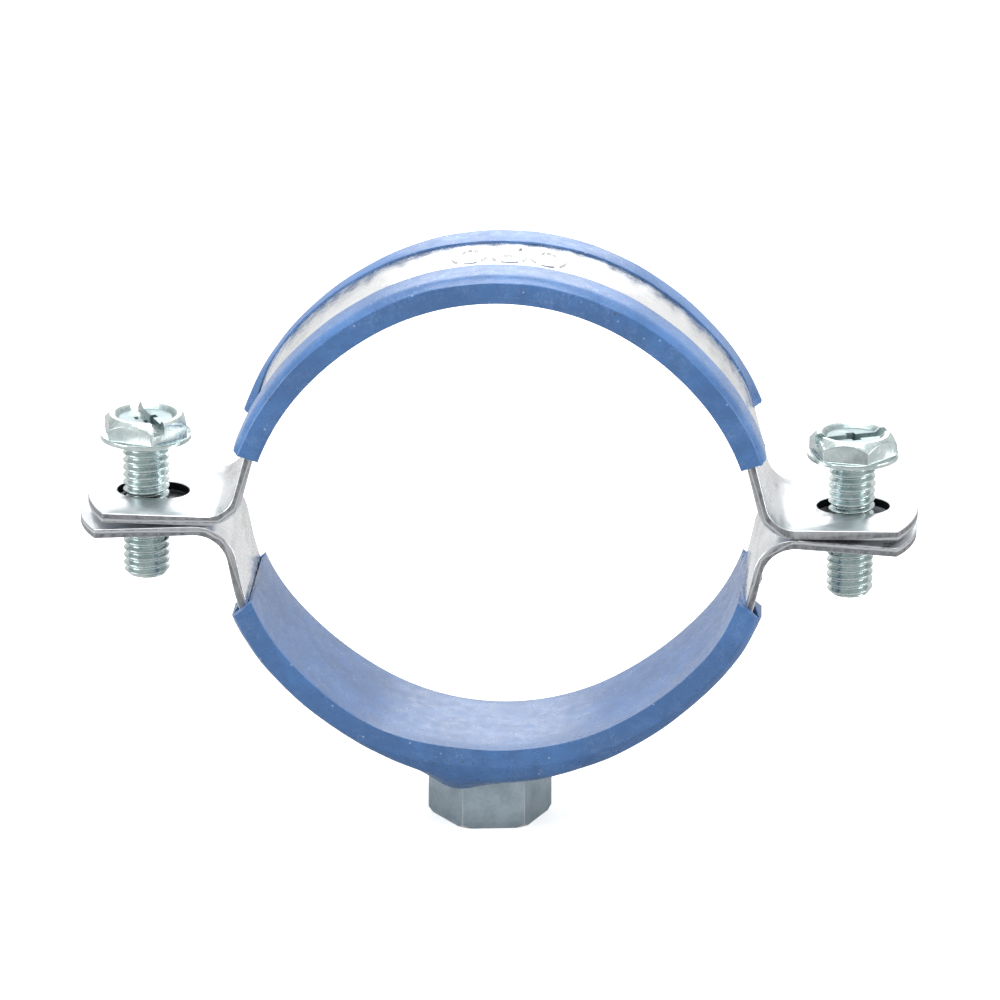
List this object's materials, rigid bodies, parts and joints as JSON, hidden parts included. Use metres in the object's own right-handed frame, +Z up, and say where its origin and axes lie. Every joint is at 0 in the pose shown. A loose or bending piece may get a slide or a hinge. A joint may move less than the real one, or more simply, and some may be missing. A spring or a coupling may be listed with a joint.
{
  "type": "rubber lined pipe clamp",
  "caption": "Split steel pipe clamp with a rubber lining, closed by a screw at each side, with a threaded hanger boss under its lower half.",
  "frame": {"origin": "on the pipe's axis, at the middle of the lower half's seat", "axes": "+Z up, away from the hanger boss; +Y along the pipe, away from the viewer; +X to the right, towards the right screw"},
  "size_m": [0.1081, 0.0224, 0.0766],
  "materials": {
    "strip": "bright zinc plated strip, sheared edges",
    "lining": "matt blue rubber, slightly dusty",
    "nut": "dull grey zinc plated",
    "screw": "shiny zinc plated with a faint green tone"
  },
  "bodies": {
    "lower_half": {"lower_band": "strip", "lower_liner": "lining", "connection_nut": "nut"},
    "upper_half": {"upper_band": "strip", "upper_liner": "lining"},
    "left_screw": {"left_screw": "screw"},
    "right_screw": {"right_screw": "screw"}
  },
  "joints": [
    {"name": "upper_half_lift", "type": "slide", "parent": "lower_half", "child": "upper_half", "axis": [0, 0, 1], "range_m": [0, 0.0032]},
    {"name": "left_screw_travel", "type": "slide", "parent": "lower_half", "child": "left_screw", "axis": [0, 0, 1], "range_m": [-0.0032, 0.0065]},
    {"name": "right_screw_travel", "type": "slide", "parent": "lower_half", "child": "right_screw", "axis": [0, 0, 1], "range_m": [-0.0032, 0.0065]}
  ]
}
